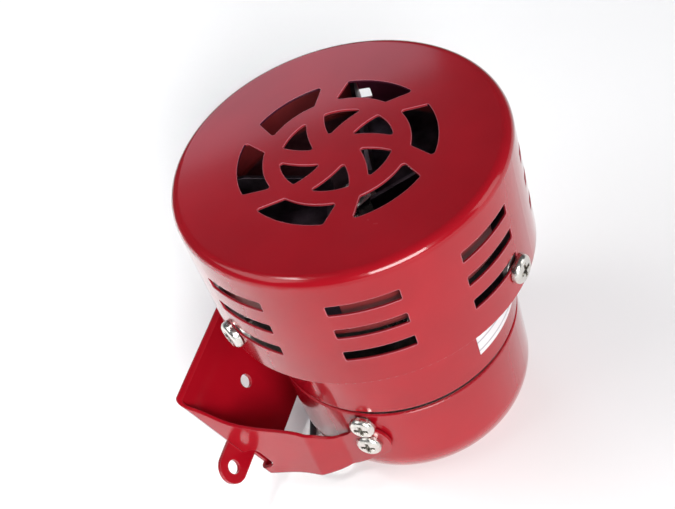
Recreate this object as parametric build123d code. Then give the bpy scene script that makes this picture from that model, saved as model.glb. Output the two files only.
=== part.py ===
from build123d import *
import os
from math import asin, atan2, cos, degrees, pi, radians, sin, tan

# A small motor siren: a slotted sound head over a round motor housing and rear cup,
# carried in a tilting U-bracket. Millimetres, +Z up along the motor's shaft.
# The origin is the centre of the rear cup's flat bottom; the bracket tilts about Y.

os.makedirs("parts", exist_ok=True)

# ---- overall sizes -------------------------------------------------------------
overall_height = 89.5
cap_diameter = 80.0
cap_height = 34.7
ring_diameter = 63.6
cup_diameter = 63.4
cup_height = 30.6
rim_gap = 1.3            # shadow gap between the rear cup and the middle housing

# ---- sheet and fits ------------------------------------------------------------
cap_sheet = 0.6
cup_sheet = 1.0
ring_sheet = 1.2
slip_fit = 0.2           # between one drawn shell and the next
close_fit = 0.05
running_fit = 0.04       # shaft in its bearings
cap_edge_radius = 2.4
cup_bottom_radius = 12.4
rim_round = 0.42

# ---- sound head openings -------------------------------------------------------
slot_groups = 8
slot_rows = 3
slot_turn = -68.0        # where the first group of slots stands round the cap
slot_angle = 23.3
slot_height = 3.2
slot_pitch = 7.6
slot_drop = 9.5          # cap top to the middle of the first row
arc_slots = 6
arc_inner_radius = 17.4
arc_outer_radius = 23.5
petal_radius = 13.3
petal_tip_radius = 5.4

# ---- screws --------------------------------------------------------------------
cap_screw_head = 7.0
cup_screw_head = 6.5
head_height = 1.9
inner_head = 5.6          # the pan heads inside, on the deck and the motor
inner_head_height = 1.8
screw_diameter = 3.0
screw_hole = 3.2
cap_screw_above_rim = 6.5
cap_screw_turns = (-12.4, -125.8, 111.0)
deck_screw_turns = (60.0, 180.0, 300.0)
deck_screw_inset = 3.4
deck_rim = 5.0            # the pan's rim, and the width of its raised tabs
deck_tab = 7.0
deck_lift = 1.2           # the pan's underside above the cap's rim
cup_screw_turns = (-90.0, 90.0)

# ---- tilting bracket -----------------------------------------------------------
pivot_height = 20.7
lock_height = 28.0
bracket_sheet = 1.0
bracket_span = 74.0      # outside to outside of the arms
bracket_reach = 40.4     # pivot to the outside of the web
bracket_width = 33.0
web_lean = 29.7
arm_end_radius = 5.5
arm_clearance = 0.15
bend_radius = 2.3
strip_start = -16.0      # along X: where the web's channel gives way to the arms' strips
bend_start = -15.0       # and where each arm's inward bends begin and stop
bend_stop = -7.4
ear_width = 8.8
ear_length = 9.0
ear_below_middle = 6.3
relief_width = 8.0       # the opening beside the ear's lower half
relief_depth = 6.7
relief_round = 2.4
relief_below_ear = 4.1
end_top_angle = 140.0    # where the arm's round end begins and stops
end_low_angle = -53.7
hole_diameter = 3.7
web_hole_spacing = 36.8

# ---- rotor ---------------------------------------------------------------------
rotor_clearance = 2.4    # from the blades to the cap
rotor_floor_drop = 19.4  # cap top to the top of the rotor's floor
rotor_wall_height = 14.0
rotor_sheet = 1.0
rotor_blades = 4
blade_start = 103.5
blade_angle = 61.0
blade_foot = (3.3, 6.0)
hub_radius = 8.0
hub_neck = 4.2
hub_foot = 4.0

# ---- motor ---------------------------------------------------------------------
shaft_diameter = 5.0
can_radius = 21.0
can_wall = 1.4
can_length = 35.0
frame_length = 20.5
frame_below_lock = 2.0    # the sleeve's edge below the lock screws
magnet_wall = 3.0
armature_radius = 15.6
armature_length = 18.0
commutator_radius = 5.0
commutator_height = 5.0
bearing_radius = 6.0
motor_screw_offset = 12.0
brush_gap = 0.15         # between a brush and the commutator

# ---- sticker -------------------------------------------------------------------
sticker_above_ring = 5.6  # its lower edge above the housing's
sticker_below_cap = 4.4   # its upper edge below the cap's rim
sticker_start = -29.8
sticker_end = 15.0

# ---- lead ----------------------------------------------------------------------
lead_diameter = 1.9
exit_turn = -112.0       # where the lead leaves the cup
exit_height = 6.5
grommet_neck = 2.3
grommet_flange = 2.7
bare_length = 7.0

# ---- levels that follow --------------------------------------------------------
cap_radius = cap_diameter / 2
ring_radius = ring_diameter / 2
cup_radius = cup_diameter / 2
cap_bottom = overall_height - cap_height
ring_bottom = cup_height + rim_gap
cap_inner = cap_radius - cap_sheet
deck_sheet = ring_sheet
deck_radius = cap_inner - slip_fit
deck_bottom = cap_bottom + deck_lift
deck_top = deck_bottom + deck_sheet
cap_screw_height = cap_bottom + cap_screw_above_rim
frame_radius = min(ring_radius - ring_sheet, cup_radius - cup_sheet) - close_fit
frame_bottom = lock_height - frame_below_lock
frame_top = frame_bottom + frame_length
can_top = frame_top - ring_sheet
can_bottom = can_top - can_length
shaft_radius = shaft_diameter / 2
rotor_radius = cap_inner - rotor_clearance
rotor_floor = overall_height - rotor_floor_drop
arm_outside = bracket_span / 2
end_outside = cup_radius + arm_clearance + bracket_sheet
screw_radius = screw_diameter / 2
pivot_bore = screw_radius + running_fit
deck_screw_circle = ring_radius - ring_sheet - deck_screw_inset
armature_base = can_bottom + 9.5
lead_radius = lead_diameter / 2


def save(name, *solids):
    """Write one piece, or one group of like pieces, to its STEP file."""
    shape = solids[0] if len(solids) == 1 else Compound(children=list(solids))
    shape.label = name
    export_step(shape, f"parts/{name}.step")


def polar(radius, angle, height=0.0):
    return Vector(radius * cos(radians(angle)), radius * sin(radians(angle)), height)


def disc(radius, low, high, bore=0.0):
    """A round plate or tube about the shaft's axis."""
    body = Pos(0, 0, low) * extrude(Circle(radius), high - low)
    if bore > 0:
        body -= Pos(0, 0, low - 1) * extrude(Circle(bore), high - low + 2)
    return body


def across(turn, height):
    """A plane whose Z points outward from the axis at this turn and height."""
    out = polar(1, turn)
    return Plane(origin=(0, 0, height), x_dir=(-out.Y, out.X, 0), z_dir=(out.X, out.Y, 0))


def radial_hole(turn, height, radius, start, end):
    """A round cutter that runs outward through a wall."""
    return across(turn, height) * Pos(0, 0, start) * extrude(Circle(radius), end - start)


def pan_screw(turn, height, seat, tip, head):
    """A cross-recess pan-head screw driven inward; its head sits at the seat radius."""
    plane = across(turn, height)
    top = Pos(0, 0, seat) * extrude(Circle(head / 2), head_height)
    top = fillet(top.edges().group_by(Axis.Z)[-1], head_height * 0.62)
    wing = Box(head * 0.56, head * 0.15, 1.3) + Box(head * 0.15, head * 0.56, 1.3)
    top -= Pos(0, 0, seat + head_height - 0.45) * wing
    shank = Pos(0, 0, tip) * extrude(Circle(screw_radius), seat - tip)
    return plane * (top + shank)


def hex_nut(turn, height, inner, outer, flats):
    plane = across(turn, height)
    body = Pos(0, 0, inner) * extrude(RegularPolygon(flats / 2, 6, major_radius=False), outer - inner)
    body -= Pos(0, 0, inner - 1) * extrude(Circle(screw_radius), outer - inner + 2)
    return plane * body


def inner_screw(x, y, seat, tip):
    """An upright pan-head screw inside the housing."""
    head = disc(inner_head / 2, seat, seat + inner_head_height)
    head = fillet(head.edges().group_by(Axis.Z)[-1], inner_head_height * 0.55)
    wing = Box(inner_head * 0.56, 0.8, 1.4) + Box(0.8, inner_head * 0.56, 1.4)
    head -= Pos(0, 0, seat + inner_head_height - 0.2) * wing
    return Pos(x, y, 0) * (head + disc(screw_radius, tip, seat))


def rim_edges(shell, height):
    """The edges of a shell that lie at one level."""
    return [e for e in shell.edges() if abs(e.center().Z - height) < 0.01]


def edge_round(sheet):
    """How far a shell's cut edge is rounded, which its sheet limits."""
    return min(rim_round, 0.42 * sheet)


# ---- shells --------------------------------------------------------------------
def arc_slot(turn):
    """One outer slot of the top grille: an arc with both ends slanted the same way."""
    inner_ends = (turn + 4.8, turn + 47.5)
    outer_ends = (turn - 4.2, turn + 40.0)
    a, b = (polar(arc_inner_radius, t) for t in inner_ends)
    d, c = (polar(arc_outer_radius, t) for t in outer_ends)
    low = ThreePointArc(a, polar(arc_inner_radius, sum(inner_ends) / 2), b)
    high = ThreePointArc(c, polar(arc_outer_radius, sum(outer_ends) / 2), d)
    face = make_face([low, Line(b, c), high, Line(d, a)])
    return fillet(face.vertices(), 0.7)


def petal(turn):
    """One inner opening of the top grille: a curved triangle whose tip leads the swirl."""
    tip = polar(petal_tip_radius, turn + 64.5)
    near = polar(petal_radius, turn + 59.5)
    far = polar(petal_radius, turn + 20.0)
    rim = ThreePointArc(near, polar(petal_radius, turn + 40.0), far)
    short = ThreePointArc(tip, (tip + near) / 2 + polar(0.45, turn + 152), near)
    long = ThreePointArc(far, (tip + far) / 2 + polar(0.55, turn + 90), tip)
    face = make_face([short, rim, long])
    return fillet(face.vertices(), 0.55)


def grille():
    """The pattern punched through the cap's flat top."""
    cut = []
    for k in range(arc_slots):
        cut.append(arc_slot(60.0 * k))
        cut.append(petal(60.0 * k))
    return cut


def skirt_slot(turn, height):
    """One straight slot through the cap's side."""
    width = 2 * cap_radius * sin(radians(slot_angle / 2))
    plane = across(turn, height)
    return plane * Pos(0, 0, cap_inner - 3) * extrude(RectangleRounded(width, slot_height, 0.45), 8)


def top_cap():
    """The drawn cap: flat top with its grille, skirt with rows of slots, rounded rim."""
    outer = disc(cap_radius, cap_bottom, overall_height)
    outer = fillet(outer.edges().group_by(Axis.Z)[-1], cap_edge_radius)
    inner = disc(cap_inner, cap_bottom - 1, overall_height - cap_sheet)
    inner = fillet(inner.edges().group_by(Axis.Z)[-1], max(cap_edge_radius - cap_sheet, 0.3))
    shell = outer - inner
    shell = fillet(rim_edges(shell, cap_bottom), edge_round(cap_sheet))
    for shape in grille():
        shell -= Pos(0, 0, overall_height - 4) * extrude(shape, 8)
    for k in range(slot_groups):
        for row in range(slot_rows):
            height = overall_height - slot_drop - slot_pitch * row
            shell -= skirt_slot(slot_turn + 360.0 / slot_groups * k, height)
    for turn in cap_screw_turns:
        shell -= radial_hole(turn, cap_screw_height, screw_hole / 2, cap_inner - 2, cap_radius + 2)
    return shell


def deck():
    """The pan under the rotor, with a low rim and three tabs that the cap is screwed to."""
    tab_top = cap_screw_height + deck_tab / 2
    pan = disc(deck_radius, deck_bottom, tab_top)
    pan = fillet(pan.edges().group_by(Axis.Z)[0], 1.6)
    well = disc(deck_radius - deck_sheet, deck_top, tab_top + 1)
    well = fillet(well.edges().group_by(Axis.Z)[0], 0.8)
    pan -= well
    keep = disc(deck_radius + 1, deck_bottom - 1, deck_bottom + deck_rim)
    for turn in cap_screw_turns:
        keep += deck_tab_shape(turn)
    pan &= keep
    pan -= disc(8.0, deck_bottom - 1, deck_top + 1)
    for turn in cap_screw_turns:
        pan -= radial_hole(turn, cap_screw_height, screw_radius, deck_radius - 4, deck_radius + 2)
    for turn in deck_screw_turns:
        pan -= Pos(*polar(deck_screw_circle, turn, deck_bottom - 1)) * extrude(Circle(screw_radius), 4)
    return pan


def deck_tab_shape(turn):
    """The round-topped outline of one tab that a cap screw goes into."""
    face = Circle(deck_tab / 2) + Pos(0, -deck_tab / 2) * Rectangle(deck_tab, deck_tab)
    return across(turn, cap_screw_height) * Pos(0, 0, deck_radius - 5) * extrude(face, 8)


def middle_housing():
    """The round housing between the sound head and the rear cup, with a top flange."""
    tube = disc(ring_radius, ring_bottom, deck_bottom)
    tube -= disc(ring_radius - ring_sheet, ring_bottom - 1, deck_bottom - ring_sheet)
    tube -= disc(ring_radius - ring_sheet - 7, deck_bottom - 3, deck_bottom + 1)
    tube = fillet(rim_edges(tube, ring_bottom), edge_round(ring_sheet))
    for turn in deck_screw_turns:
        tube -= Pos(*polar(deck_screw_circle, turn, deck_bottom - 4)) * extrude(Circle(screw_radius), 8)
    return tube


def deck_screw(turn):
    """One of the screws that hold the deck on the middle housing's flange."""
    place = polar(deck_screw_circle, turn)
    return inner_screw(place.X, place.Y, deck_top, deck_bottom - 6)


def cup_shell(grow):
    """The rear cup's solid of revolution, moved inward by a wall."""
    radius = cup_radius - grow
    body = disc(radius, grow, cup_height)
    return fillet(body.edges().group_by(Axis.Z)[0], cup_bottom_radius - grow)


def rear_cup():
    """The drawn rear cup with its big bottom round and a hole for each screw and the lead."""
    shell = cup_shell(0) - (cup_shell(cup_sheet) + disc(cup_radius - cup_sheet, cup_height - 2, cup_height + 2))
    shell = fillet(rim_edges(shell, cup_height), edge_round(cup_sheet))
    for turn in cup_screw_turns:
        for height in (pivot_height, lock_height):
            shell -= radial_hole(turn, height, screw_hole / 2, cup_radius - 4, cup_radius + 3)
    shell -= exit_plane() * Pos(0, 0, -8) * extrude(Circle(grommet_neck), 16)
    return shell


def inner_frame():
    """The steel sleeve that the cup and housing slip over, with the motor's plate on top."""
    sleeve = disc(frame_radius, frame_bottom, frame_top)
    sleeve -= disc(frame_radius - 1.45, frame_bottom - 1, frame_top - ring_sheet)
    sleeve -= disc(7.0, frame_top - 3, frame_top + 1)
    for turn in cup_screw_turns:
        sleeve -= radial_hole(turn, lock_height, screw_radius, frame_radius - 4, frame_radius + 3)
    for x in (-motor_screw_offset, motor_screw_offset):
        sleeve -= Pos(x, 0, frame_top - 3) * extrude(Circle(screw_radius), 6)
    return sleeve


# ---- motor ---------------------------------------------------------------------
def motor_can():
    """The motor's drawn steel can, closed at the top round the bearing."""
    can = disc(can_radius, can_bottom, can_top)
    can = fillet(can.edges().group_by(Axis.Z)[-1], 1.5)
    can -= disc(can_radius - can_wall, can_bottom - 1, can_top - can_wall)
    can -= disc(bearing_radius, can_top - 4, can_top + 2)
    for x in (-motor_screw_offset, motor_screw_offset):
        can -= Pos(x, 0, can_top - 3) * extrude(Circle(screw_radius), 6)
    return can


def motor_end_cap():
    """The moulded end cap that closes the can and carries the brushes."""
    plate = disc(can_radius, can_bottom - 2.5, can_bottom)
    plate += disc(can_radius - can_wall - close_fit, can_bottom, can_bottom + 2)
    plate -= disc(bearing_radius, can_bottom - 3, can_bottom + 3)
    return plate


def bearing(low, height):
    """A plain sintered bearing with a running fit on the shaft."""
    return disc(bearing_radius, low, low + height, shaft_radius + running_fit)


def magnet(turn):
    """One arc magnet on the can's wall."""
    outer = can_radius - can_wall
    low = armature_base - 2
    ring = disc(outer, low, low + armature_length + 4, outer - magnet_wall)
    wedge = Pos(25, 0, low + armature_length / 2 + 2) * Box(50, 22, armature_length + 6)
    return Rot(0, 0, turn) * (ring & wedge)


def armature_core():
    """The laminated core: five teeth round a hub."""
    core = disc(6.2, armature_base, armature_base + armature_length)
    shoe = disc(armature_radius, armature_base, armature_base + armature_length, armature_radius - 1.8)
    for k in range(5):
        arm = Pos(armature_radius / 2 + 0.2, 0, 0) * Box(armature_radius - 2.4, 3.6, armature_length)
        tooth = Pos(0, 0, armature_base + armature_length / 2) * arm
        keep = Pos(20, 0, armature_base + armature_length / 2) * Box(40, 15.5, armature_length)
        core += Rot(0, 0, 72 * k) * (tooth + (shoe & keep))
    return core - disc(shaft_radius, armature_base - 1, armature_base + armature_length + 1)


def coil(turn):
    """The copper wound round one tooth."""
    height = armature_length + 4.4
    block = Box(4.4, 6.8, height)
    block -= Box(8, 3.7, armature_length + 0.1)
    return Rot(0, 0, turn) * Pos(10.1, 0, armature_base + armature_length / 2) * block


def commutator():
    """Five copper bars round an insulating bush, joined at their feet."""
    low = can_bottom + 2.2
    body = disc(commutator_radius, low, low + commutator_height)
    for k in range(5):
        slot = Pos(commutator_radius, 0, low + 1.5) * Box(1.4, 0.5, commutator_height)
        body -= Rot(0, 0, 72 * k + 36) * slot
    return body - disc(shaft_radius, low - 1, low + commutator_height + 1)


def brush(side):
    low = can_bottom + 3.2
    return Pos(side * (commutator_radius + brush_gap + 2.5), 0, low + 1.5) * Box(5.0, 3.2, 3.0)


def brush_holder(side):
    """A brass box that the brush slides in."""
    middle = side * (commutator_radius + brush_gap + 5.2)
    box = Box(8.4, 4.4, 4.2) - Box(9.4, 3.3, 3.1)
    return Pos(middle, 0, can_bottom + 4.7) * box


def brush_spring(side):
    """The spring behind the brush, as its closed outer shape."""
    start = commutator_radius + brush_gap + 5.0
    turn = 90 if side > 0 else -90
    return Pos(side * start, 0, can_bottom + 4.7) * Rot(0, turn, 0) * extrude(Circle(1.3), 4.2)


# ---- rotor ---------------------------------------------------------------------
def rotor_hub():
    """The turned hub, pressed on the shaft, that the rotor's floor sits on."""
    foot = disc(hub_radius, rotor_floor - rotor_sheet - hub_foot, rotor_floor - rotor_sheet)
    neck = disc(hub_neck, rotor_floor - rotor_sheet, rotor_floor)
    return foot + neck - disc(shaft_radius, rotor_floor - 8, rotor_floor + 2)


def rotor_floor_plate():
    return disc(rotor_radius, rotor_floor - rotor_sheet, rotor_floor, hub_neck)


def rotor_blade(k):
    """One bent blade: a wall along the rim, and a vane from its leading edge to the hub."""
    start = blade_start + 360.0 / rotor_blades * k
    wall = disc(rotor_radius, rotor_floor, rotor_floor + rotor_wall_height, rotor_radius - rotor_sheet)
    edge = polar(80, start)
    back = polar(80, start + blade_angle)
    middle = polar(80, start + blade_angle / 2)
    sector = make_face(Polyline((0, 0, 0), edge, middle, back, close=True))
    wall &= Pos(0, 0, rotor_floor) * extrude(sector, rotor_wall_height)
    foot = Vector(*blade_foot).rotate(Axis.Z, start - blade_start)
    tip = polar(rotor_radius - rotor_sheet / 2, start + 0.8)
    run = tip - foot
    vane_turn = degrees(atan2(run.Y, run.X))
    inner_height = rotor_wall_height * 0.5
    side = make_face(Polyline((0, 0), (run.length, 0), (run.length, rotor_wall_height),
                              (run.length * 0.6, rotor_wall_height), (0, inner_height), close=True))
    vane = Plane.XZ * side
    vane = extrude(vane, rotor_sheet / 2, both=True)
    vane = Pos(foot.X, foot.Y, rotor_floor) * Rot(0, 0, vane_turn) * vane
    vane &= disc(rotor_radius - 0.02, rotor_floor, rotor_floor + rotor_wall_height)
    return wall + vane


def rotor_washer():
    return disc(6.0, rotor_floor, rotor_floor + 0.8, shaft_radius)


def rotor_nut():
    nut = extrude(RegularPolygon(4.0, 6, major_radius=False), 3.6)
    return Pos(0, 0, rotor_floor + 0.8) * nut - disc(shaft_radius, rotor_floor, rotor_floor + 6)


def motor_shaft():
    low = can_bottom - 1.5
    shaft = disc(shaft_radius, low, rotor_floor + 6.0)
    return chamfer(shaft.edges().group_by(Axis.Z)[-1], 0.5)


# ---- bracket -------------------------------------------------------------------
lean = radians(web_lean)
web_out = Vector(-cos(lean), 0, -sin(lean))      # outward normal of the web
web_up = Vector(-sin(lean), 0, cos(lean))        # up along the web's width
pivot = Vector(0, 0, pivot_height)
web_middle = pivot + Vector(-bracket_reach, 0, 0)


def web_plane(depth=0.0):
    """X along the pivot axis, Y up the web's width, Z outward from the web."""
    return Plane(origin=web_middle - web_out * depth, x_dir=(0, -1, 0), z_dir=web_out)


def beside(origin, x, z):
    """A point of the arm's outline, so far from another one."""
    return origin + Vector(x, 0, z)


def arm_outline():
    """The bracket seen along the pivot axis: a tapered arm, a neck and a round end."""
    top = web_middle + web_up * (bracket_width / 2)
    low = web_middle - web_up * (bracket_width / 2)
    end_top = pivot + polar_in_arm(arm_end_radius, end_top_angle)
    end_low = pivot + polar_in_arm(arm_end_radius, end_low_angle)
    end_far = pivot + Vector(arm_end_radius, 0, 0)
    shoulder = beside(top, 4.4, -1.9)
    upper = [shoulder, beside(top, 12.6, -6.9), beside(pivot, -21.0, 6.2)]
    upper += [beside(pivot, -14.4, 4.8), beside(pivot, -9.6, 1.2), end_top]
    lower = [end_low, beside(pivot, -3.7, -9.2), beside(pivot, -10.0, -11.9)]
    lower += [beside(pivot, -14.6, -11.9), beside(pivot, -18.6, -11.5), low]
    up_line = Spline(upper, tangents=[heading(top, shoulder), polar_in_arm(1, end_top_angle - 90)])
    low_line = Spline(lower, tangents=[polar_in_arm(1, end_low_angle - 90), heading(lower[-2], low)])
    far_line = ThreePointArc(end_top, end_far, end_low)
    return make_face([Line(top, shoulder), up_line, far_line, low_line, Line(low, top)])


def polar_in_arm(radius, angle):
    """A step in the arm's plane, its angle measured from +X towards +Z."""
    return Vector(radius * cos(radians(angle)), 0, radius * sin(radians(angle)))


def heading(start, end):
    """The direction from one point to another."""
    return (end - start).normalized()


def bracket_body():
    """Web, arms and inward-set arm ends, cut from one outline."""
    outline = extrude(arm_outline(), 60, both=True)
    half = arm_outside
    channel = Pos(0, 0, -60) * Box(2 * half, 70, 120)
    channel = fillet(channel.edges().filter_by(Axis.Y).group_by(Axis.Z)[-1], bend_radius)
    hollow = Pos(0, 0, -60 - bracket_sheet) * Box(2 * (half - bracket_sheet), 72, 120)
    hollow = fillet(hollow.edges().filter_by(Axis.Y).group_by(Axis.Z)[-1], bend_radius - bracket_sheet)
    channel = web_plane() * (channel - hollow)
    far = -(bracket_reach + bracket_width)
    near_web = Pos((far + strip_start) / 2, 0, pivot_height) * Box(strip_start - far, 4 * half, 3 * bracket_width)
    body = channel & outline & near_web
    for side in (-1, 1):
        body += arm_strip(side) & outline
    return body


def arm_strip(side):
    """One arm seen from above: flat, set inward by two easy bends, and flat at the pivot."""
    outer = [(strip_start - 1, arm_outside), (bend_start, arm_outside), (bend_stop, end_outside)]
    outer.append((2 * arm_end_radius, end_outside))
    outer_line = [Vector(x, side * y) for x, y in outer]
    inner_line = [Vector(x, side * (y - bracket_sheet)) for x, y in reversed(outer)]
    face = make_face(Polyline(*outer_line, *inner_line, close=True))
    strip = extrude(face, 90)
    bends = [e for e in strip.edges().filter_by(Axis.Z) if bend_start - 0.5 < e.center().X < bend_stop + 0.5]
    return fillet(bends, bend_radius)


def ear(side):
    """A mounting ear that stands out past the arm in the web's plane."""
    start = arm_outside - 7
    end = arm_outside + ear_length
    width = ear_width
    body = Pos((start + end - width / 2) / 2, 0) * Rectangle(end - width / 2 - start, width)
    body += Pos(end - width / 2, 0) * Circle(width / 2)
    body -= Pos(end - width / 2, 0) * Circle(hole_diameter / 2)
    flip = Rot(0, 0, 180) if side > 0 else Rot(0, 0, 0)
    return web_plane(bracket_sheet) * Pos(0, -ear_below_middle) * flip * extrude(body, bracket_sheet)


def ear_opening(side):
    """The rounded opening through the bend, beside the lower half of an ear."""
    face = RectangleRounded(2 * relief_depth, relief_width, relief_round)
    below = ear_below_middle + ear_width / 2 + relief_below_ear - relief_width / 2
    origin = web_middle - web_up * below + Vector(0, side * arm_outside, 0)
    plane = Plane(origin=origin, x_dir=-web_out, z_dir=(0, side, 0))
    return plane * extrude(face, bracket_sheet + bend_radius - 0.6, both=True)


def bracket():
    """The one-piece sheet-steel bracket."""
    body = bracket_body()
    for side in (-1, 1):
        body -= ear_opening(side)
    for side in (-1, 1):
        body += ear(side)
        body -= radial_hole(90 * side, pivot_height, pivot_bore, cup_radius - 1, end_outside + 6)
        hole = Pos(side * web_hole_spacing / 2, 0, -4) * extrude(Circle(hole_diameter / 2), 8)
        body -= web_plane() * hole
    return body


# ---- small pieces --------------------------------------------------------------
def rating_sticker():
    """A blank sticker on the middle housing."""
    low, high = ring_bottom + sticker_above_ring, cap_bottom - sticker_below_cap
    middle = (sticker_start + sticker_end) / 2
    corners = [polar(2 * ring_radius, turn) for turn in (sticker_start, middle, sticker_end)]
    skin = disc(ring_radius + 0.17, low, high, ring_radius + 0.02)
    wedge = make_face(Polyline((0, 0, 0), *corners, close=True))
    return skin & (Pos(0, 0, low) * extrude(wedge, high - low))


def exit_plane():
    """Where the lead leaves the cup: Z points outward, square to the rounded wall."""
    drop = cup_bottom_radius - exit_height
    tilt = asin(max(drop, 0.0) / cup_bottom_radius)
    centre = polar(cup_radius - cup_bottom_radius, exit_turn, max(cup_bottom_radius, exit_height))
    out = polar(cos(tilt), exit_turn, -sin(tilt))
    return Plane(origin=centre + out * cup_bottom_radius, z_dir=out)


def lead_grommet():
    """The rubber grommet in the cup's wall."""
    plane = exit_plane()
    outer = Pos(0, 0, close_fit) * extrude(Circle(grommet_flange), 1.0)
    outer = fillet(outer.edges().group_by(Axis.Z)[-1], 0.45)
    inner = Pos(0, 0, -cup_sheet - 1.5) * extrude(Circle(grommet_flange), 1.0)
    neck = Pos(0, 0, -cup_sheet - 1.0) * extrude(Circle(grommet_neck - close_fit), cup_sheet + 1.5)
    body = outer + inner + neck
    body -= Pos(0, 0, -6) * extrude(Circle(lead_radius), 12)
    return plane * body


def lead_route():
    """The lead's path: out of the grommet, down to the surface and away behind the cup."""
    start = exit_plane().origin
    out = exit_plane().z_dir
    floor = lead_radius + 0.05
    return [
        start - out * (cup_sheet + 1.2),
        start + out * 2.5,
        Vector(-16.0, -32.4, 3.6),
        Vector(-21.3, -31.2, 2.2),
        Vector(-24.0, -26.2, 1.2),
        Vector(-25.4, -19.6, floor),
        Vector(-29.1, -9.0, floor),
        Vector(-29.9, 4.0, floor),
        Vector(-28.2, 19.0, floor),
        Vector(-31.5, 35.0, floor),
        Vector(-28.0, 51.0, floor),
        Vector(-15.0, 61.0, floor),
        Vector(-1.5, 68.5, floor),
        Vector(-2.5, 85.0, floor),
        Vector(-18.0, 92.0, floor),
        Vector(-35.0, 86.5, floor),
        Vector(-47.0, 76.0, floor),
        Vector(-60.0, 71.5, floor),
    ]


def corner_radii(points):
    """The largest radius that each corner's two runs allow."""
    radii = []
    for before, here, after in zip(points, points[1:], points[2:]):
        first, second = here - before, after - here
        turn = radians(first.get_angle(second))
        radii.append(0.45 * min(first.length, second.length) / tan(turn / 2))
    return radii


def lead():
    points = lead_route()
    radii = corner_radii(points)
    path = FilletPolyline(*points, radius=radii)
    start = Plane(origin=points[0], z_dir=points[1] - points[0])
    tube = sweep(start * Circle(lead_radius), path=path)
    print("lead radii", [round(r, 1) for r in radii])
    print("lead length", round(path.length, 1), "volume ratio",
          round(tube.volume / (pi * lead_radius ** 2 * path.length), 4))
    return tube


def lead_end(side):
    """One of the two stripped and tinned conductors at the lead's end."""
    points = lead_route()
    last = points[-1]
    run = (last - points[-2]).normalized()
    across_run = Vector(-run.Y, run.X, 0) * 0.45 * side
    plane = Plane(origin=last + across_run, z_dir=run + across_run * 0.25)
    return plane * extrude(Circle(0.36), bare_length)


def shaft_and_motor():
    """The pieces of the motor, from the can inward."""
    save("motor_can", motor_can())
    save("motor_end_cap", motor_end_cap())
    save("upper_bearing", bearing(can_top - can_wall - 2.2, 4.2))
    save("lower_bearing", bearing(can_bottom - 2.0, 3.6))
    save("magnets", magnet(0), magnet(180))
    tip = can_top - can_wall
    save("motor_screws", *[inner_screw(side * motor_screw_offset, 0, frame_top, tip) for side in (-1, 1)])
    save("brushes", brush(-1), brush(1))
    save("brush_holders", brush_holder(-1), brush_holder(1))
    save("brush_springs", brush_spring(-1), brush_spring(1))
    save("motor_shaft", motor_shaft())
    save("armature_core", armature_core())
    save("armature_coils", *[coil(72 * k) for k in range(5)])
    save("commutator", commutator())


def rotor():
    """The siren's rotor, which the motor turns under the cap."""
    save("rotor_hub", rotor_hub())
    save("rotor_floor", rotor_floor_plate())
    for k in range(rotor_blades):
        save(f"rotor_blade_{k + 1}", rotor_blade(k))
    save("rotor_washer", rotor_washer())
    save("rotor_nut", rotor_nut())


def cup_screws(height, tip):
    """A pair of screws through the cup, one under each arm."""
    seat = end_outside + 0.03
    return [pan_screw(turn, height, seat, tip, cup_screw_head) for turn in cup_screw_turns]


def build_all():
    save("top_cap", top_cap())
    save("deck_pan", deck())
    save("middle_housing", middle_housing())
    save("deck_screws", *[deck_screw(turn) for turn in deck_screw_turns])
    save("rear_cup", rear_cup())
    save("inner_frame", inner_frame())
    seat = cap_radius + close_fit
    save("cap_screws", *[pan_screw(turn, cap_screw_height, seat, deck_radius - 4, cap_screw_head)
                         for turn in cap_screw_turns])
    save("lock_screws", *cup_screws(lock_height, frame_radius - 4))
    save("pivot_screws", *cup_screws(pivot_height, cup_radius - 6.5))
    nut_low, nut_high = cup_radius - 4.2, cup_radius - 1.6
    save("pivot_nuts", *[hex_nut(turn, pivot_height, nut_low, nut_high, 5.5) for turn in cup_screw_turns])
    save("bracket", bracket())
    shaft_and_motor()
    rotor()
    save("rating_sticker", rating_sticker())
    save("lead_grommet", lead_grommet())
    save("lead", lead())
    save("lead_ends", lead_end(-1), lead_end(1))


build_all()
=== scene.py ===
"""The finished look of a small motor siren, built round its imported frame."""
import math

import bmesh
import bpy
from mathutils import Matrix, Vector


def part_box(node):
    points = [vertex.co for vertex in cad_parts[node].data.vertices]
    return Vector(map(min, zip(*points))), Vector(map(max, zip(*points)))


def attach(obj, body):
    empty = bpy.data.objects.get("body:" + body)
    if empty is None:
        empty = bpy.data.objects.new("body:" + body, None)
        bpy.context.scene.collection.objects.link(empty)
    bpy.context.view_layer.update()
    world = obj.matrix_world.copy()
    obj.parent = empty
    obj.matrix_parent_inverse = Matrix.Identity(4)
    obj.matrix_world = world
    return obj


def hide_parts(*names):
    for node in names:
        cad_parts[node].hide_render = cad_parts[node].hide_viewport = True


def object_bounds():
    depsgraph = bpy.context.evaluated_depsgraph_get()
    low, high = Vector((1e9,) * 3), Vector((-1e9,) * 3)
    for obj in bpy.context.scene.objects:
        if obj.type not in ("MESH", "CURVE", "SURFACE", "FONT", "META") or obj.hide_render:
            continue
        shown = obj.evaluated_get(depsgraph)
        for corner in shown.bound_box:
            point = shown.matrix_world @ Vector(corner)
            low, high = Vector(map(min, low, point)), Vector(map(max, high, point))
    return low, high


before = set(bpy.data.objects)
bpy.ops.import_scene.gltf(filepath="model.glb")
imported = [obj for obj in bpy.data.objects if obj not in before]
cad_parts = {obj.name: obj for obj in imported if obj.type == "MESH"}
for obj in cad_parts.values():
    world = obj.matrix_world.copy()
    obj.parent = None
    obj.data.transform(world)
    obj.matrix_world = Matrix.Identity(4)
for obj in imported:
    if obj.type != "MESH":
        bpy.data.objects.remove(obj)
CAD_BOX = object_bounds()

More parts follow.
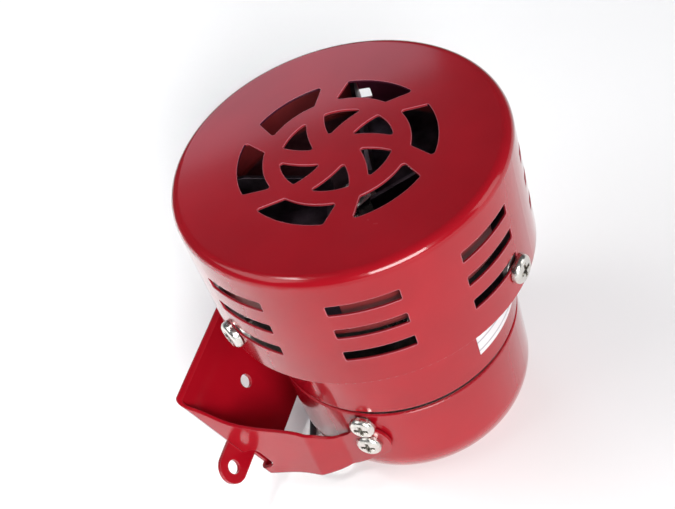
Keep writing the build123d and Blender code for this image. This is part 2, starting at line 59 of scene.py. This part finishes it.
bl_info = {
    "name": "Motor siren",
    "version": (1, 0, 0),
    "blender": (4, 5, 0),
    "location": "3D View > Sidebar > Siren",
    "description": "Finishes a motor siren's pieces and sets its studio",
    "category": "Object",
}

MM = 0.001
STICKER_LOW, STICKER_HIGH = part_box("rating_sticker")
ROTOR_LOW, ROTOR_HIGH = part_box("rotor_floor")
ROTOR_RADIUS = (ROTOR_HIGH.x - ROTOR_LOW.x) / 2
CORE_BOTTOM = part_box("armature_core")[0].z
BASE_LEVEL = min(CAD_BOX[0].z, 0.0)
INSIDE_RADIUS = 15.0 * MM  # a wall further out than this that faces the shaft is an inside, which gets painted shade

# The view from above, in front and to the right of the sound head.
VIEW_PLACE = Vector((106.39, -184.27, 266.28)) * MM
VIEW_AHEAD = Vector((-0.3813, 0.6047, -0.6993))
VIEW_RIGHT = Vector((0.9235, 0.2839, -0.2580))
VIEW_LENS = 65.29
VIEW_SENSOR = 36.0

# The soft lights, in metres and watts: each one's place, the point it faces, width, height and power.
HEAD = (0.0, 0.0, 0.05)
LEFT_FLOOR = (-0.34, -0.12, 0.0)
KEY_LIGHT = ((1.9, -2.1, 1.46), HEAD, 1.8, 1.35)
OTHER_LIGHTS = {
    "over_light": ((-1.7, -1.1, 2.2), HEAD, 2.0, 1.4, 22.0),
    "right_light": ((1.1, 0.35, 0.4), HEAD, 0.5, 0.7, 2.5),
    "back_light": ((-0.60, 0.87, 0.63), HEAD, 0.46, 0.44, 1.2),
    "floor_light": ((-0.5, -0.15, 0.9), LEFT_FLOOR, 0.5, 0.4, 1.2),
}
BACK_LIGHT_COLOUR = (0.82, 0.84, 1.0)
FLOOR_LIGHT_SPREAD = math.radians(38.0)

# The lead's own route, in metres: out of the grommet and away behind the cup.
LEAD_DIAMETER = 1.9 * MM
LEAD_ROUTE = [
    (-10.59, -26.21, 7.55),
    (-12.14, -30.05, 5.31),
    (-16.0, -32.4, 3.6),
    (-21.3, -31.2, 2.2),
    (-24.0, -26.2, 1.2),
    (-25.4, -19.6, 1.0),
    (-29.1, -9.0, 1.0),
    (-29.9, 4.0, 1.0),
    (-28.2, 19.0, 1.0),
    (-31.5, 35.0, 1.0),
    (-28.0, 51.0, 1.0),
    (-15.0, 61.0, 1.0),
    (-1.5, 68.5, 1.0),
    (-2.5, 85.0, 1.0),
    (-18.0, 92.0, 1.0),
    (-35.0, 86.5, 1.0),
    (-47.0, 76.0, 1.0),
    (-60.0, 71.5, 1.0),
]


# ---- shader building ---------------------------------------------------------
class Value:
    """A shader socket that takes part in plain arithmetic."""

    def __init__(self, look, socket):
        self.look = look
        self.socket = socket

    def step(self, operation, *others):
        inputs = dict(enumerate((self,) + others))
        return self.look.node("ShaderNodeMath", {"operation": operation}, inputs)

    def __add__(self, other):
        return self.step("ADD", other)

    __radd__ = __add__

    def __sub__(self, other):
        return self.step("SUBTRACT", other)

    def __rsub__(self, other):
        return self.look.node("ShaderNodeMath", {"operation": "SUBTRACT"}, {0: other, 1: self})

    def __mul__(self, other):
        return self.step("MULTIPLY", other)

    __rmul__ = __mul__

    def __truediv__(self, other):
        return self.step("DIVIDE", other)

    def __pow__(self, other):
        return self.step("POWER", other)

    def __lt__(self, other):
        return self.step("LESS_THAN", other)

    def __abs__(self):
        return self.step("ABSOLUTE")

    def band(self, low, high):
        """0 below low, 1 above high, and a smooth rise between them."""
        settings = {"interpolation_type": "SMOOTHSTEP"}
        inputs = {"Value": self, "From Min": low, "From Max": high}
        return self.look.node("ShaderNodeMapRange", settings, inputs)


class Look:
    """One material: a principled shader and the nodes that feed it."""

    def __init__(self, name):
        self.material = bpy.data.materials.new(name)
        self.material.use_nodes = True
        self.tree = self.material.node_tree
        self.tree.nodes.clear()
        output = self.tree.nodes.new("ShaderNodeOutputMaterial")
        self.shader = self.tree.nodes.new("ShaderNodeBsdfPrincipled")
        self.tree.links.new(self.shader.outputs[0], output.inputs[0])
        self.place = self.node("ShaderNodeTexCoord", output="Object")

    def node(self, kind, settings=None, inputs=None, output=0):
        """Adds any node: its settings first, then the values or links of its sockets."""
        node = self.tree.nodes.new(kind)
        for name, value in (settings or {}).items():
            setattr(node, name, value)
        for key, value in (inputs or {}).items():
            self.feed(node.inputs[key], value)
        return Value(self, node.outputs[output])

    def feed(self, socket, value):
        if isinstance(value, Value):
            self.tree.links.new(value.socket, socket)
        else:
            socket.default_value = value

    def finish(self, **values):
        """Sets the shader's own sockets, named with underscores for spaces."""
        for name, value in values.items():
            self.feed(self.shader.inputs[name.replace("_", " ")], value)
        return self.material

    def stretched(self, x, y, z):
        """The surface's place, scaled by a factor each way."""
        return self.node("ShaderNodeVectorMath", {"operation": "MULTIPLY"}, {0: self.place, 1: (x, y, z)})

    def dot(self, first, second):
        return self.node("ShaderNodeVectorMath", {"operation": "DOT_PRODUCT"}, {0: first, 1: second}, "Value")

    def noise(self, scale, detail=3.0, roughness=0.55, place=None):
        inputs = {"Vector": place or self.place, "Scale": scale, "Detail": detail, "Roughness": roughness}
        return self.node("ShaderNodeTexNoise", None, inputs)

    def crystals(self, size):
        """A random shade for each small crystal of a plated sheet."""
        inputs = {"Vector": self.place, "Scale": 1.0 / size}
        colour = self.node("ShaderNodeTexVoronoi", {"feature": "F1"}, inputs, "Color")
        return self.node("ShaderNodeSeparateColor", None, {0: colour}, "Red")

    def blend(self, factor, first, second):
        """A mix of two colours."""
        return self.node("ShaderNodeMix", {"data_type": "RGBA"}, {0: factor, 6: first, 7: second}, 2)

    def axis(self, name):
        """One coordinate of the surface's place, in metres."""
        return self.node("ShaderNodeSeparateXYZ", None, {0: self.place}, name)

    def eased_normal(self, radius):
        """The normal as if each edge had a small round."""
        return self.node("ShaderNodeBevel", {"samples": 6}, {"Radius": radius})

    def edge_mask(self, eased):
        """1 on the edges that the small round touches, 0 on the flats."""
        true_normal = self.node("ShaderNodeNewGeometry", output="Normal")
        return (1.0 - self.dot(eased, true_normal)).band(0.002, 0.12)

    def inside_shade_mask(self):
        """1 on a wall that faces the shaft from further out than the inside's radius, where painted shade
        goes; 0 elsewhere.
        """
        level = self.stretched(1.0, 1.0, 0.0)
        normal = self.node("ShaderNodeNewGeometry", output="Normal")
        return self.dot(level, normal) < -INSIDE_RADIUS

    def bump(self, height, strength, distance, normal=None):
        inputs = {"Height": height, "Strength": strength, "Distance": distance}
        if normal:
            inputs["Normal"] = normal
        return self.node("ShaderNodeBump", None, inputs)


def rgba(colour, factor=1.0):
    return tuple(c * factor for c in colour[:3]) + (1.0,)


# ---- sizes and colours a user may change ---------------------------------------
def colour_property(name, description, default):
    return bpy.props.FloatVectorProperty(
        name=name, description=description, default=default, size=3, min=0.0, max=1.0, subtype="COLOR"
    )


def share_property(name, description, default):
    return bpy.props.FloatProperty(
        name=name, description=description, default=default, min=0.0, max=1.0, subtype="FACTOR"
    )


def length_property(name, description, default):
    return bpy.props.FloatProperty(
        name=name, description=description, default=default, min=0.0, subtype="DISTANCE", unit="LENGTH"
    )


class PaintSettings(bpy.types.PropertyGroup):
    """The red enamel on the shells and the bracket."""

    colour: colour_property("Enamel", "Colour of the enamel where it is full", (0.265, 0.0028, 0.0085))
    # The thin enamel colour is pale partly for thin enamel and partly as a painted highlight on the cut
    # edges.
    thin_enamel_highlight_colour: colour_property("Thin enamel", "Colour where the enamel is thin", (0.52, 0.2, 0.24))
    # The inside colour is painted shade for the shells' inward walls, not an enamel of their own.
    inside_shade_colour: colour_property("Inside", "Colour of the shells' insides", (0.05, 0.008, 0.018))
    roughness: share_property("Roughness", "Roughness under the gloss", 0.2)
    peel_size: length_property("Orange peel", "Width of one ripple in the enamel", 1.5 * MM)
    edge_round: length_property("Edge round", "How far enamel rounds a cut edge", 0.42 * MM)


class MetalSettings(bpy.types.PropertyGroup):
    """The plated and bare metal pieces."""

    nickel: colour_property("Nickel", "Colour of the screws' plating", (0.66, 0.64, 0.60))
    zinc: colour_property("Zinc", "Colour of the zinc-plated sheet", (0.60, 0.60, 0.58))
    steel: colour_property("Steel", "Colour of bare steel", (0.55, 0.55, 0.56))
    rotor_coat: colour_property("Rotor coat", "Colour of the rotor's thin coat", (0.24, 0.02, 0.022))


class LeadSettings(bpy.types.PropertyGroup):
    """The two-core lead."""

    diameter: length_property("Diameter", "Outside diameter of the lead", LEAD_DIAMETER)
    colour: colour_property("Sheath", "Colour of the lead's sheath", (0.012, 0.012, 0.014))


class StudioSettings(bpy.types.PropertyGroup):
    """The floor and the lights."""

    floor: colour_property("Floor", "Colour of the floor", (0.92, 0.92, 0.92))
    surround: colour_property("Surround", "Colour of the room's light", (0.92, 0.94, 1.0))
    surround_strength: bpy.props.FloatProperty(
        name="Surround strength", description="How bright the room is", default=0.12, min=0.0
    )
    key_power: bpy.props.FloatProperty(
        name="Key power", description="Power of the main soft light", default=158.0, min=0.0, unit="POWER"
    )


# ---- materials -----------------------------------------------------------------
def red_enamel(name, edge_highlight_share, painted_inside_shade):
    """Thick gloss enamel: a rippled skin, cut edges paled by thin enamel and a painted highlight, and painted
    shade on the walls inside a shell.
    """
    paint = bpy.context.scene.siren_paint
    look = Look(name)
    eased = look.eased_normal(paint.edge_round)
    edges = look.edge_mask(eased)
    cloud = look.noise(45.0, 2.0)
    depth = look.blend(cloud.band(0.3, 0.75), rgba(paint.colour, 0.9), rgba(paint.colour, 1.06))
    # Cut edges pale toward the thin colour: thin enamel and a painted highlight.
    colour = look.blend(edges * edge_highlight_share, depth, rgba(paint.thin_enamel_highlight_colour))
    # Painted shade: inward-facing walls of a shell turn to the dark inside colour.
    if painted_inside_shade:
        colour = look.blend(look.inside_shade_mask(), colour, rgba(paint.inside_shade_colour))
    ripple = look.noise(1.0 / paint.peel_size, 2.0, 0.4)
    grain = look.noise(5200.0, 2.0, 0.5)
    height = ripple + grain * 0.04
    normal = look.bump(height, 0.5, 0.05 * MM, eased)
    smear = look.noise(60.0, 4.0, 0.6).band(0.35, 0.8)
    roughness = paint.roughness + smear * 0.08 - edges * 0.05
    return look.finish(
        Base_Color=colour, Roughness=roughness, Normal=normal, Coat_Weight=1.0, Coat_Roughness=0.09,
        Coat_IOR=1.35, Specular_IOR_Level=0.12,
    )


def plated(name, colour, roughness, crystal_size, spread=0.12):
    """Plated sheet: small crystals that differ a little in shade and gloss."""
    look = Look(name)
    shade = look.crystals(crystal_size)
    stain = look.noise(90.0, 5.0, 0.6)
    tone = look.blend(shade * 0.6 + stain * 0.4, rgba(colour, 1 - spread), rgba(colour, 1 + spread))
    scratch = look.noise(1.0, 3.0, 0.7, look.stretched(300.0, 2600.0, 900.0))
    gloss = roughness + shade * 0.08 + scratch * 0.1
    normal = look.bump(scratch + stain * 0.5, 0.12, 0.03 * MM, look.eased_normal(0.15 * MM))
    return look.finish(Base_Color=tone, Roughness=gloss, Normal=normal, Metallic=1.0)


def nickel_plate():
    """Bright nickel on the screws: turning marks, and painted shade in the recesses."""
    look = Look("nickel_plate")
    eased = look.eased_normal(0.2 * MM)
    edges = look.edge_mask(eased)
    tint = bpy.context.scene.siren_metal.nickel
    stain = look.noise(420.0, 4.0, 0.6).band(0.35, 0.75)
    occlusion_for_shade = look.node("ShaderNodeAmbientOcclusion", {"samples": 6}, {"Distance": 1.0 * MM}, "AO")
    tone = look.blend(stain * 0.5, rgba(tint, 1.05), rgba(tint, 0.8))
    # Painted shade: recesses such as the drive slot darken to grey by ambient occlusion.
    tone = look.blend((1.0 - occlusion_for_shade).band(0.25, 0.8) * 0.8, tone, rgba((0.16, 0.15, 0.13)))
    marks = look.noise(2400.0, 3.0, 0.6)
    roughness = 0.17 + stain * 0.12 + marks * 0.06 - edges * 0.05
    normal = look.bump(marks, 0.1, 0.03 * MM, eased)
    return look.finish(Base_Color=tone, Roughness=roughness, Normal=normal, Metallic=1.0)


def drawn_steel(name, colour, roughness, along="z"):
    """Steel with fine lines along one axis, from drawing or turning."""
    look = Look(name)
    fine, coarse = 3200.0, 140.0
    scales = {"x": (coarse, fine, fine), "y": (fine, coarse, fine), "z": (fine, fine, coarse)}[along]
    lines = look.noise(1.0, 3.0, 0.65, look.stretched(*scales))
    stain = look.noise(75.0, 4.0, 0.6).band(0.3, 0.8)
    tone = look.blend(lines * 0.5 + stain * 0.4, rgba(colour, 0.82), rgba(colour, 1.12))
    normal = look.bump(lines, 0.15, 0.03 * MM, look.eased_normal(0.12 * MM))
    return look.finish(Base_Color=tone, Roughness=roughness + lines * 0.14, Normal=normal, Metallic=1.0)


def rotor_sheet():
    """The rotor's sheet: a thin red coat on its outer walls, bare grey metal further in."""
    look = Look("rotor_sheet")
    x = look.axis("X")
    y = look.axis("Y")
    radius = (x * x + y * y) ** 0.5
    coated = radius.band(ROTOR_RADIUS - 2.6 * MM, ROTOR_RADIUS - 1.4 * MM)
    patch = look.noise(160.0, 5.0, 0.65).band(0.25, 0.7)
    metal = look.blend(patch, rgba((0.05, 0.035, 0.045)), rgba((0.13, 0.1, 0.12)))
    coat = rgba(bpy.context.scene.siren_metal.rotor_coat)
    tone = look.blend(coated, metal, look.blend(patch * 0.6, coat, rgba(coat, 0.6)))
    lines = look.noise(1.0, 3.0, 0.6, look.stretched(2200.0, 2200.0, 200.0))
    normal = look.bump(lines + patch, 0.14, 0.04 * MM, look.eased_normal(0.2 * MM))
    roughness = 0.34 + patch * 0.16
    return look.finish(Base_Color=tone, Roughness=roughness, Normal=normal, Metallic=1.0 - coated * 0.9)


def laminated_core():
    """A stack of thin steel sheets, seen as fine dark joints up its side."""
    look = Look("laminated_core")
    layer = (look.axis("Z") - CORE_BOTTOM) / (0.5 * MM)
    within = layer.step("FRACT")
    joint = 1.0 - abs(within - 0.5).band(0.32, 0.46)
    patch = look.noise(260.0, 4.0, 0.6)
    tone = look.blend(joint * 0.7 + patch * 0.3, rgba((0.05, 0.05, 0.055)), rgba((0.30, 0.30, 0.32)))
    normal = look.bump(joint, 0.5, 0.06 * MM)
    return look.finish(Base_Color=tone, Roughness=0.38 + patch * 0.2, Normal=normal, Metallic=0.9)


def wound_copper():
    """Enamelled wire laid in turns round each tooth."""
    look = Look("wound_copper")
    turns = look.node(
        "ShaderNodeTexWave",
        {"wave_type": "BANDS", "bands_direction": "Z", "wave_profile": "SIN"},
        {"Vector": look.place, "Scale": 780.0, "Distortion": 0.4, "Detail": 1.0},
        "Fac",
    )
    patch = look.noise(300.0, 3.0)
    tone = look.blend(turns * 0.7 + patch * 0.3, rgba((0.20, 0.05, 0.02)), rgba((0.70, 0.28, 0.12)))
    normal = look.bump(turns, 0.7, 0.12 * MM)
    return look.finish(
        Base_Color=tone, Roughness=0.26 + patch * 0.1, Normal=normal, Metallic=0.85, Coat_Weight=0.6
    )


def moulded(name, colour, roughness, grain_size, strength=0.2):
    """Moulded or pressed stuff with a fine even grain and faint flow marks."""
    look = Look(name)
    grain = look.noise(1.0 / grain_size, 3.0, 0.6)
    flow = look.noise(55.0, 3.0, 0.5)
    tone = look.blend(flow.band(0.3, 0.75), rgba(colour, 0.8), rgba(colour, 1.35))
    normal = look.bump(grain, strength, 0.06 * MM, look.eased_normal(0.15 * MM))
    return look.finish(Base_Color=tone, Roughness=roughness + grain * 0.12, Normal=normal, IOR=1.5)


def sticker_film():
    """White film with three thin dark rules, and no lettering."""
    look = Look("sticker_film")
    height = look.axis("Z")
    half_line = 0.22 * MM
    margin = 1.5 * MM
    rule = 4.4 * MM
    levels = (STICKER_LOW.z + margin, STICKER_LOW.z + rule, STICKER_HIGH.z - margin)
    low, middle, high = (abs(height - level) < half_line for level in levels)
    frame_lines = low + middle + high
    fibre = look.noise(900.0, 3.0, 0.6)
    film = look.blend(fibre, rgba((0.50, 0.47, 0.48)), rgba((0.60, 0.57, 0.58)))
    tone = look.blend(frame_lines * 0.75, film, rgba((0.16, 0.15, 0.17)))
    normal = look.bump(fibre, 0.06, 0.02 * MM)
    return look.finish(Base_Color=tone, Roughness=0.3 + fibre * 0.12, Normal=normal, Coat_Weight=0.3)


def lead_sheath():
    """Black flexible sheath with a faint matt bloom."""
    look = Look("lead_sheath")
    bloom = look.noise(230.0, 4.0, 0.6).band(0.35, 0.8)
    grain = look.noise(2600.0, 2.0, 0.5)
    colour = bpy.context.scene.siren_lead.colour
    tone = look.blend(bloom, rgba(colour), rgba(colour, 2.2))
    normal = look.bump(grain + bloom, 0.12, 0.04 * MM)
    return look.finish(Base_Color=tone, Roughness=0.28 + bloom * 0.2, Normal=normal)


def pale_floor():
    """A matt pale floor with the faintest unevenness."""
    look = Look("pale_floor")
    floor = bpy.context.scene.siren_studio.floor
    cloud = look.noise(3.0, 2.0, 0.4)
    tone = look.blend(cloud, rgba(floor, 0.985), rgba(floor, 1.0))
    return look.finish(Base_Color=tone, Roughness=0.75 + cloud * 0.05, IOR=1.35)


# ---- making pieces -------------------------------------------------------------
def paint_nodes(material, *names):
    """Gives carried-over CAD nodes their finish."""
    for name in names:
        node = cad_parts[name]
        node.data.materials.clear()
        node.data.materials.append(material)


def add_object(name, data):
    made = bpy.data.objects.new(name, data)
    bpy.context.scene.collection.objects.link(made)
    return made


class SIREN_OT_shells(bpy.types.Operator):
    """Enamel the cap, the housing, the cup and the bracket"""

    bl_idname = "siren.shells"
    bl_label = "Shells and bracket"

    def execute(self, context):
        paint_nodes(red_enamel("red_enamel", 0.6, True), "top_cap", "middle_housing", "rear_cup")
        paint_nodes(red_enamel("bracket_enamel", 0.1, False), "bracket")
        return {"FINISHED"}


class SIREN_OT_screws(bpy.types.Operator):
    """Plate every screw, nut and washer"""

    bl_idname = "siren.screws"
    bl_label = "Screws and nuts"

    def execute(self, context):
        paint_nodes(
            nickel_plate(), "cap_screws", "lock_screws", "pivot_screws", "pivot_nuts", "deck_screws",
            "motor_screws", "rotor_washer", "rotor_nut",
        )
        return {"FINISHED"}


class SIREN_OT_inner_sheet(bpy.types.Operator):
    """Plate the deck under the rotor and the sleeve inside the housing"""

    bl_idname = "siren.inner_sheet"
    bl_label = "Deck and sleeve"

    def execute(self, context):
        zinc = plated("zinc_plate", context.scene.siren_metal.zinc, 0.3, 1.1 * MM)
        paint_nodes(zinc, "deck_pan", "inner_frame")
        return {"FINISHED"}


class SIREN_OT_rotor(bpy.types.Operator):
    """Finish the rotor's floor, blades and hub"""

    bl_idname = "siren.rotor"
    bl_label = "Rotor"

    def execute(self, context):
        blades = [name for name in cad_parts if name.startswith("rotor_blade_")]
        paint_nodes(rotor_sheet(), "rotor_floor", *blades)
        turned = drawn_steel("turned_steel", context.scene.siren_metal.steel, 0.22, "z")
        paint_nodes(turned, "rotor_hub", "motor_shaft")
        return {"FINISHED"}


class SIREN_OT_motor(bpy.types.Operator):
    """Finish the motor's can, magnets, armature, brushes and bearings"""

    bl_idname = "siren.motor"
    bl_label = "Motor"

    def execute(self, context):
        steel = context.scene.siren_metal.steel
        paint_nodes(plated("motor_plate", steel, 0.24, 2.4 * MM, 0.06), "motor_can")
        paint_nodes(moulded("end_cap_nylon", (0.03, 0.03, 0.035), 0.45, 0.3 * MM), "motor_end_cap")
        paint_nodes(plated("sintered_bronze", (0.50, 0.33, 0.16), 0.42, 0.2 * MM, 0.2),
                    "upper_bearing", "lower_bearing")
        paint_nodes(moulded("ground_ferrite", (0.05, 0.05, 0.055), 0.5, 0.12 * MM, 0.35), "magnets")
        paint_nodes(laminated_core(), "armature_core")
        paint_nodes(wound_copper(), "armature_coils")
        paint_nodes(drawn_steel("turned_copper", (0.72, 0.36, 0.2), 0.25, "x"), "commutator")
        paint_nodes(moulded("pressed_carbon", (0.03, 0.03, 0.03), 0.6, 0.1 * MM, 0.4), "brushes")
        paint_nodes(drawn_steel("stamped_brass", (0.72, 0.54, 0.24), 0.3, "x"), "brush_holders")
        paint_nodes(drawn_steel("spring_wire", steel, 0.3, "y"), "brush_springs")
        return {"FINISHED"}


class SIREN_OT_sticker(bpy.types.Operator):
    """Finish the blank sticker on the housing"""

    bl_idname = "siren.sticker"
    bl_label = "Sticker"

    def execute(self, context):
        paint_nodes(sticker_film(), "rating_sticker")
        return {"FINISHED"}


class SIREN_OT_lead(bpy.types.Operator):
    """Lay the two-core lead along its route, from the grommet to its bared ends"""

    bl_idname = "siren.lead"
    bl_label = "Lead and grommet"

    def execute(self, context):
        diameter = context.scene.siren_lead.diameter
        curve = bpy.data.curves.new("supply_lead", "CURVE")
        curve.dimensions = "3D"
        spline = curve.splines.new("NURBS")
        spline.points.add(len(LEAD_ROUTE) - 1)
        for point, place in zip(spline.points, LEAD_ROUTE):
            point.co = (*(Vector(place) * MM), 1.0)
        spline.order_u = 3
        spline.use_endpoint_u = True
        spline.resolution_u = 16
        curve.bevel_depth = diameter / 2
        curve.bevel_resolution = 6
        curve.use_fill_caps = True
        lead = add_object("supply_lead", curve)
        curve.materials.append(lead_sheath())
        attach(lead, "housing")
        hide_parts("lead")
        paint_nodes(drawn_steel("tinned_strands", (0.74, 0.74, 0.72), 0.32, "x"), "lead_ends")
        paint_nodes(moulded("grommet_rubber", (0.016, 0.016, 0.016), 0.5, 0.25 * MM, 0.3), "lead_grommet")
        return {"FINISHED"}


def soft_light(name, place, aim, width, height, power):
    """A rectangular soft light that faces a point."""
    lamp = bpy.data.lights.new(name, "AREA")
    lamp.shape = "RECTANGLE"
    lamp.size = width
    lamp.size_y = height
    lamp.energy = power
    light = add_object(name, lamp)
    light.location = place
    light.rotation_euler = (Vector(aim) - Vector(place)).to_track_quat("-Z", "Y").to_euler()
    return light


def make_floor():
    """A wide floor sheet that stays just under the siren."""
    mesh = bpy.data.meshes.new("floor_sheet")
    sheet = bmesh.new()
    bmesh.ops.create_grid(sheet, x_segments=8, y_segments=8, size=4.0)
    sheet.to_mesh(mesh)
    sheet.free()
    floor = add_object("floor_sheet", mesh)
    floor.location.z = BASE_LEVEL - 0.02 * MM
    mesh.materials.append(pale_floor())


def make_camera(scene):
    """The camera, looking down at the sound head."""
    lens = bpy.data.cameras.new("view_camera")
    lens.lens = VIEW_LENS
    lens.sensor_width = VIEW_SENSOR
    lens.clip_start = 0.01
    camera = add_object("view_camera", lens)
    camera.location = VIEW_PLACE
    turn = camera.matrix_world.to_3x3()
    turn.col[0] = VIEW_RIGHT
    turn.col[1] = VIEW_RIGHT.cross(VIEW_AHEAD).normalized()
    turn.col[2] = -VIEW_AHEAD
    camera.rotation_euler = turn.to_euler()
    scene.camera = camera


class SIREN_OT_studio(bpy.types.Operator):
    """Set the pale floor, the soft lights and the camera"""

    bl_idname = "siren.studio"
    bl_label = "Studio"

    def execute(self, context):
        scene = context.scene
        studio = scene.siren_studio
        make_floor()
        world = bpy.data.worlds.new("room")
        world.use_nodes = True
        background = world.node_tree.nodes["Background"]
        background.inputs["Color"].default_value = rgba(studio.surround)
        background.inputs["Strength"].default_value = studio.surround_strength
        scene.world = world
        soft_light("key_light", *KEY_LIGHT, studio.key_power)
        lights = {name: soft_light(name, *values) for name, values in OTHER_LIGHTS.items()}
        lights["back_light"].data.color = BACK_LIGHT_COLOUR
        lights["floor_light"].data.spread = FLOOR_LIGHT_SPREAD
        make_camera(scene)
        scene.view_settings.view_transform = "Standard"
        return {"FINISHED"}


class SIREN_PT_pieces(bpy.types.Panel):
    """The siren's pieces and their settings"""

    bl_idname = "SIREN_PT_pieces"
    bl_label = "Motor siren"
    bl_space_type = "VIEW_3D"
    bl_region_type = "UI"
    bl_category = "Siren"

    def draw(self, context):
        column = self.layout.column()
        for maker in OPERATORS:
            column.operator(maker.bl_idname)
        for group in SETTINGS:
            settings = getattr(context.scene, group)
            for name in settings.bl_rna.properties.keys():
                if name not in {"rna_type", "name"}:
                    column.prop(settings, name)


SETTINGS = {
    "siren_paint": PaintSettings,
    "siren_metal": MetalSettings,
    "siren_lead": LeadSettings,
    "siren_studio": StudioSettings,
}
OPERATORS = (
    SIREN_OT_shells,
    SIREN_OT_screws,
    SIREN_OT_inner_sheet,
    SIREN_OT_rotor,
    SIREN_OT_motor,
    SIREN_OT_sticker,
    SIREN_OT_lead,
    SIREN_OT_studio,
)


def register():
    for group in (*SETTINGS.values(), *OPERATORS, SIREN_PT_pieces):
        bpy.utils.register_class(group)
    for name, group in SETTINGS.items():
        setattr(bpy.types.Scene, name, bpy.props.PointerProperty(type=group))


def unregister():
    for name in SETTINGS:
        delattr(bpy.types.Scene, name)
    for group in (SIREN_PT_pieces, *reversed(OPERATORS), *SETTINGS.values()):
        bpy.utils.unregister_class(group)


def main():
    register()
    bpy.ops.siren.studio()
    bpy.ops.siren.lead()
    bpy.ops.siren.shells()
    bpy.ops.siren.screws()
    bpy.ops.siren.inner_sheet()
    bpy.ops.siren.rotor()
    bpy.ops.siren.motor()
    bpy.ops.siren.sticker()


if __name__ == "__main__":
    main()
